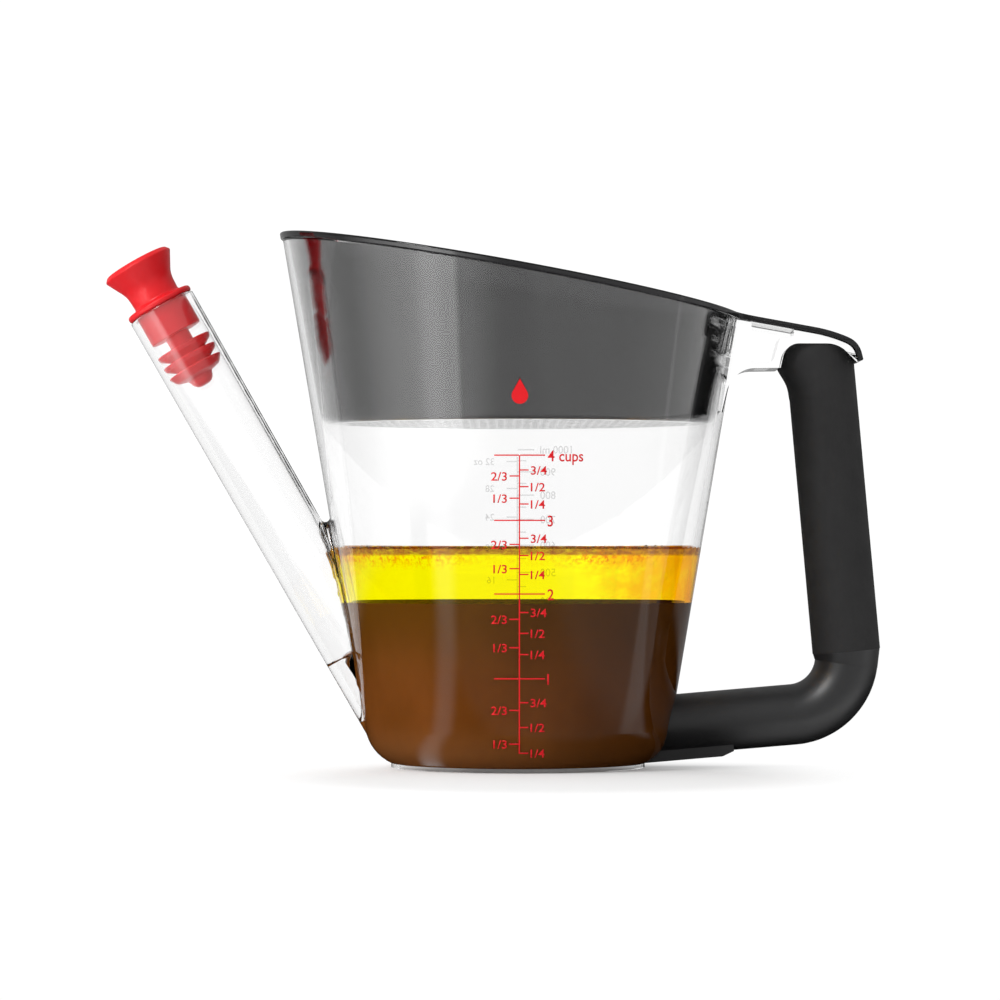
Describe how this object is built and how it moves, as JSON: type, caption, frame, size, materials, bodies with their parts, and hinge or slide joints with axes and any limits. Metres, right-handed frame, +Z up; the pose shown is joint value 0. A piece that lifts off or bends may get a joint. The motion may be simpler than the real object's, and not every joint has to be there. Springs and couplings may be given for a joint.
{
  "type": "gravy fat separator",
  "caption": "Clear tapered gravy jug with a long slanted pouring spout, bridged handle with soft grip, drop-in strainer with thumb tab, and a pull-out silicone spout stopper.",
  "frame": {"origin": "centre of the cup's foot ring, on the surface that the jug stands on", "axes": "+Z up along the cup's axis, +X from the cup towards the handle, -X towards the spout, the side with the red measuring scale faces -Y"},
  "size_m": [0.2579, 0.1538, 0.1776],
  "materials": {
    "clear_plastic": "polished, clear",
    "smoke_plastic": "polished, smoke grey, see-through",
    "black_plastic": "satin, moulded",
    "soft_grip": "matte, soft touch",
    "red_silicone": "smooth silicone"
  },
  "bodies": {
    "jug": {"jug_cup": "clear_plastic", "spout": "clear_plastic", "handle_frame": "black_plastic", "handle_grip": "soft_grip"},
    "strainer": {"strainer_basket": "smoke_plastic", "strainer_sieve": "smoke_plastic"},
    "stopper": {"stopper": "red_silicone"}
  },
  "joints": [
    {"name": "strainer_lift", "type": "slide", "parent": "jug", "child": "strainer", "axis": [0, 0, 1], "range_m": [0, 0.085]},
    {"name": "stopper_pull", "type": "slide", "parent": "jug", "child": "stopper", "axis": [-0.4955, 0, 0.8686], "range_m": [0, 0.045]}
  ]
}
